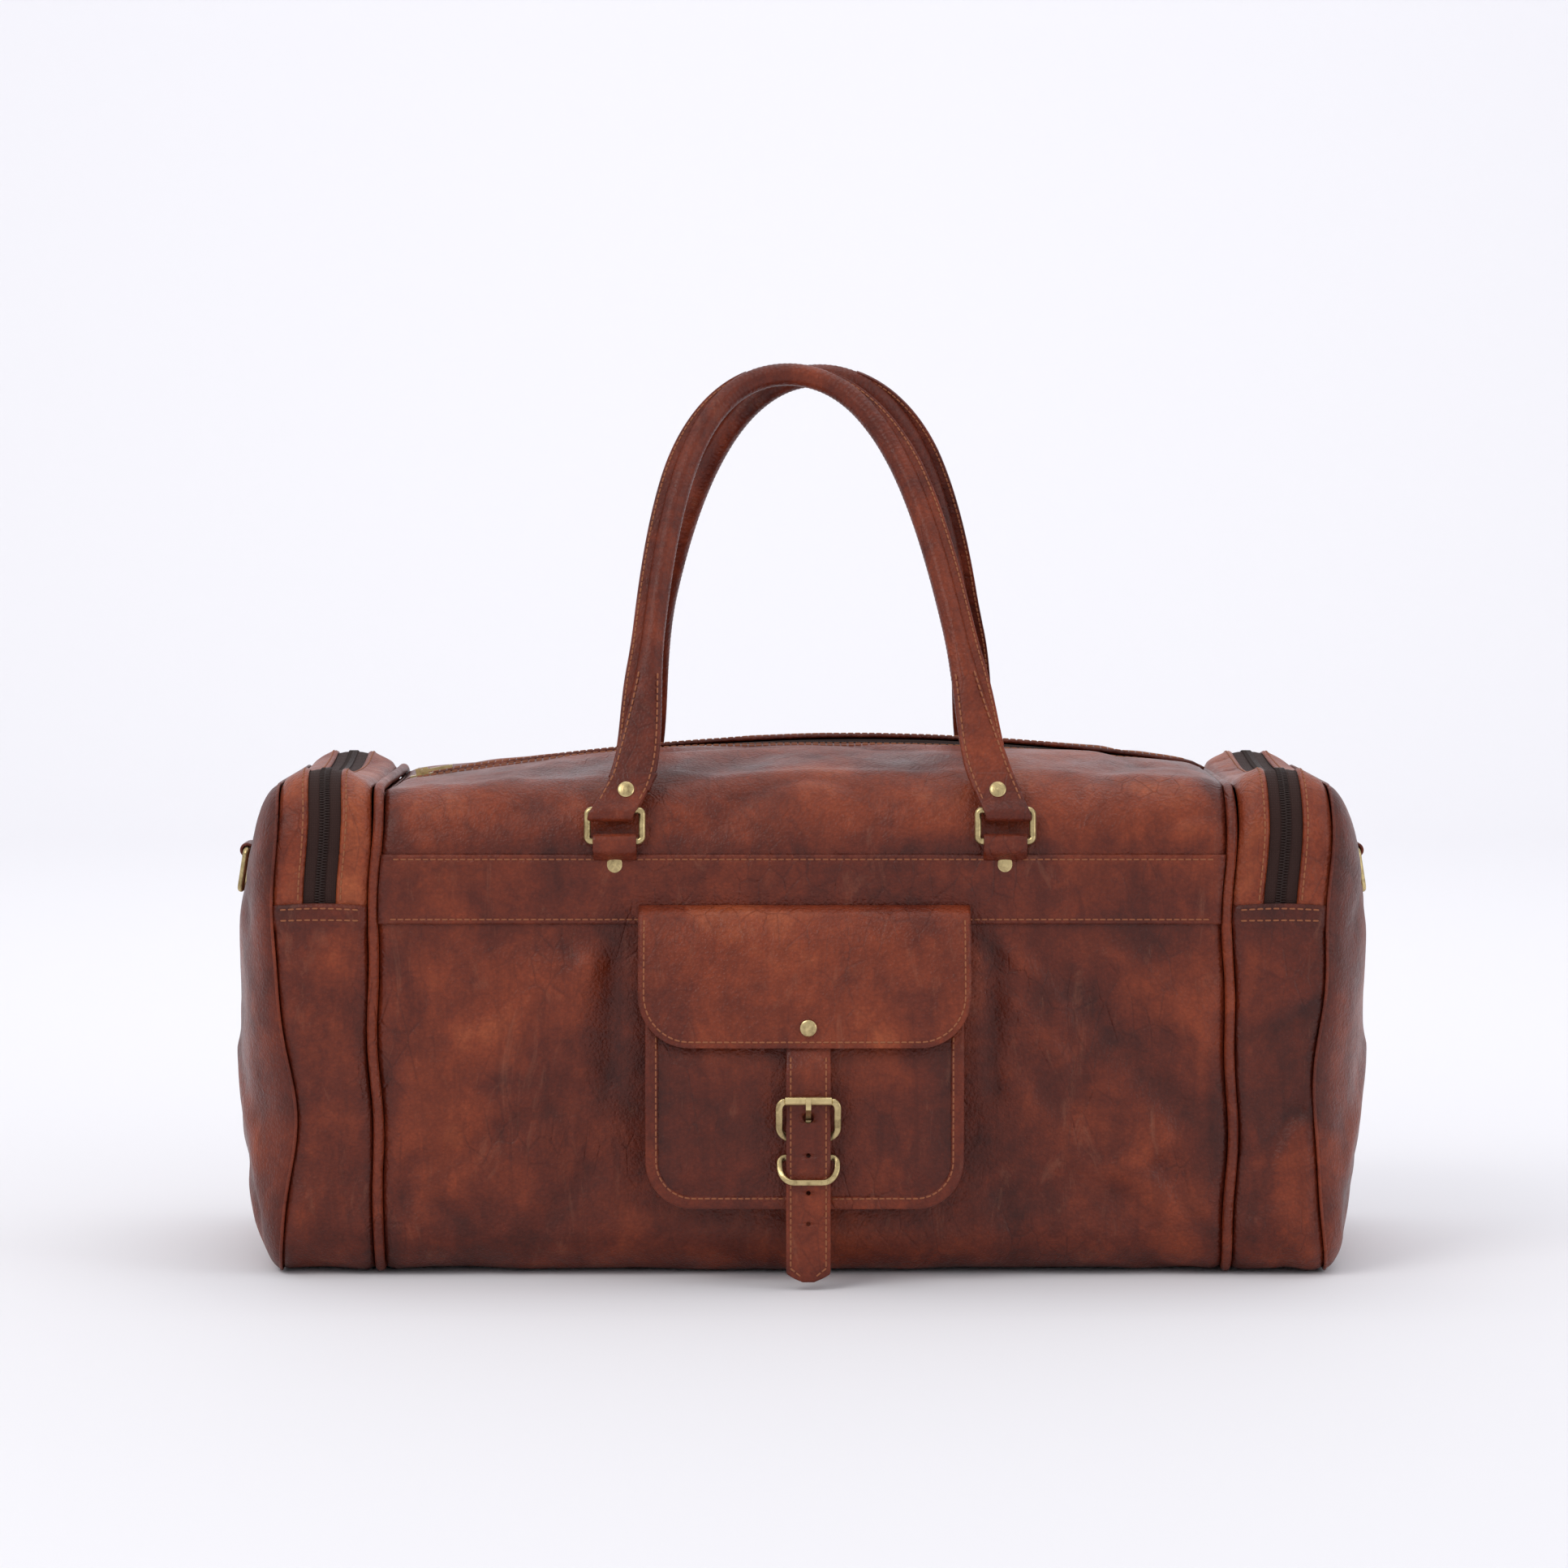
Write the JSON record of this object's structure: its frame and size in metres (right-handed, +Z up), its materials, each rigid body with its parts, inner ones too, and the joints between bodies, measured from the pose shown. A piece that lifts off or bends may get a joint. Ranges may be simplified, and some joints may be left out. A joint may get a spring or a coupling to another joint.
{
  "type": "leather duffel bag",
  "caption": "Leather duffel bag with two rolled handles on rings, a zipped crowned top, zipped end pockets and a buckled front pocket.",
  "frame": {"origin": "middle of the base, on the surface it rests on", "axes": "+X along the bag towards its right end as seen from the front, -Y towards the front pocket, +Z up"},
  "size_m": [0.6396, 0.2917, 0.5009],
  "materials": {
    "leather": "satin",
    "dark_leather": "satin",
    "brass": "antique",
    "zip_tape": "matte",
    "zip_chain": "satin",
    "lining": "matte",
    "board": "matte",
    "cord_filling": "matte"
  },
  "bodies": {
    "bag": {"front_panel": "leather", "rear_panel": "leather", "front_band": "dark_leather", "rear_band": "dark_leather", "front_ring_tabs": "dark_leather", "rear_ring_tabs": "dark_leather", "base_panel": "dark_leather", "top_front_panel": "leather", "top_rear_panel": "leather", "main_lining": "lining", "base_board": "board", "main_zip_tapes": "zip_tape", "main_zip_chain": "zip_chain", "tab_rivets": "brass", "pocket_front": "dark_leather", "pocket_gusset": "leather", "pocket_binding": "dark_leather", "snap_socket": "brass", "left_partition": "leather", "right_partition": "leather", "left_piping": "leather", "right_piping": "leather", "left_gusset_strips": "leather", "right_gusset_strips": "leather", "left_lower_gusset": "dark_leather", "right_lower_gusset": "dark_leather", "left_end_panel": "leather", "right_end_panel": "leather", "left_zip_tapes": "zip_tape", "right_zip_tapes": "zip_tape", "left_zip_chain": "zip_chain", "right_zip_chain": "zip_chain", "left_ring_tab": "dark_leather", "right_ring_tab": "dark_leather"},
    "front_ring_pair": {"front_rings": "brass"},
    "rear_ring_pair": {"rear_rings": "brass"},
    "front_carry_handle": {"front_handle": "leather", "front_handle_core": "cord_filling", "front_handle_rivets": "brass"},
    "rear_carry_handle": {"rear_handle": "leather", "rear_handle_core": "cord_filling", "rear_handle_rivets": "brass"},
    "pocket_closure": {"pocket_flap": "leather", "flap_strap": "dark_leather", "flap_rivet": "brass", "buckle_chape": "dark_leather", "buckle_frame": "brass", "buckle_tongue": "brass", "snap_stud": "brass"},
    "roller": {"buckle_roller": "brass"},
    "keeper": {"keeper_ring": "brass"},
    "main_zip_slider": {"main_slider": "brass"},
    "main_zip_pull": {"main_pull": "brass"},
    "left_zip_slider": {"left_slider": "brass"},
    "left_zip_pull": {"left_pull": "brass"},
    "right_zip_slider": {"right_slider": "brass"},
    "right_zip_pull": {"right_pull": "brass"},
    "left_end_ring": {"left_d_ring": "brass"},
    "right_end_ring": {"right_d_ring": "brass"}
  },
  "joints": [
    {"name": "front_rings_fold", "type": "hinge", "parent": "bag", "child": "front_ring_pair", "pos_m": [0.004, -0.12325, 0.2395], "axis": [-1, 0, 0], "range_deg": [-70, 0]},
    {"name": "rear_rings_fold", "type": "hinge", "parent": "bag", "child": "rear_ring_pair", "pos_m": [0.004, 0.12325, 0.2395], "axis": [1, 0, 0], "range_deg": [-70, 0]},
    {"name": "front_handle_fold", "type": "hinge", "parent": "front_ring_pair", "child": "front_carry_handle", "pos_m": [0.004, -0.12088, 0.25633], "axis": [-1, 0, 0], "range_deg": [-95, 0]},
    {"name": "rear_handle_fold", "type": "hinge", "parent": "rear_ring_pair", "child": "rear_carry_handle", "pos_m": [0.004, 0.12088, 0.25633], "axis": [1, 0, 0], "range_deg": [-95, 0]},
    {"name": "flap_open", "type": "hinge", "parent": "bag", "child": "pocket_closure", "pos_m": [0.001, -0.1212, 0.204], "axis": [-1, 0, 0], "range_deg": [0, 105]},
    {"name": "roller_spin", "type": "hinge", "parent": "pocket_closure", "child": "roller", "pos_m": [0.003, -0.15975, 0.1025], "axis": [1, 0, 0], "continuous": true},
    {"name": "keeper_lift", "type": "hinge", "parent": "pocket_closure", "child": "keeper", "pos_m": [0.003, -0.1516, 0.071], "axis": [-1, 0, 0], "range_deg": [0, 20]},
    {"name": "main_zip_run", "type": "hinge", "parent": "bag", "child": "main_zip_slider", "pos_m": [0.025, 0, -1.112], "axis": [0, 1, 0], "range_deg": [0, 17.7]},
    {"name": "main_pull_lift", "type": "hinge", "parent": "main_zip_slider", "child": "main_zip_pull", "pos_m": [-0.21594, 0, 0.27026], "axis": [0, -1, 0], "range_deg": [0, 160]},
    {"name": "left_zip_run", "type": "slide", "parent": "bag", "child": "left_zip_slider", "axis": [0, 0, 1], "range_m": [0, 0.067]},
    {"name": "left_pull_lift", "type": "hinge", "parent": "left_zip_slider", "child": "left_zip_pull", "pos_m": [-0.26205, 0.1225, 0.1595], "axis": [1, 0, 0], "range_deg": [0, 150]},
    {"name": "left_ring_lift", "type": "hinge", "parent": "bag", "child": "left_end_ring", "pos_m": [-0.3145, 0, 0.226], "axis": [0, 1, 0], "range_deg": [0, 145]},
    {"name": "right_zip_run", "type": "slide", "parent": "bag", "child": "right_zip_slider", "axis": [0, 0, 1], "range_m": [0, 0.067]},
    {"name": "right_pull_lift", "type": "hinge", "parent": "right_zip_slider", "child": "right_zip_pull", "pos_m": [0.26205, 0.1225, 0.1595], "axis": [1, 0, 0], "range_deg": [0, 150]},
    {"name": "right_ring_lift", "type": "hinge", "parent": "bag", "child": "right_end_ring", "pos_m": [0.3145, 0, 0.226], "axis": [0, -1, 0], "range_deg": [0, 145]}
  ]
}
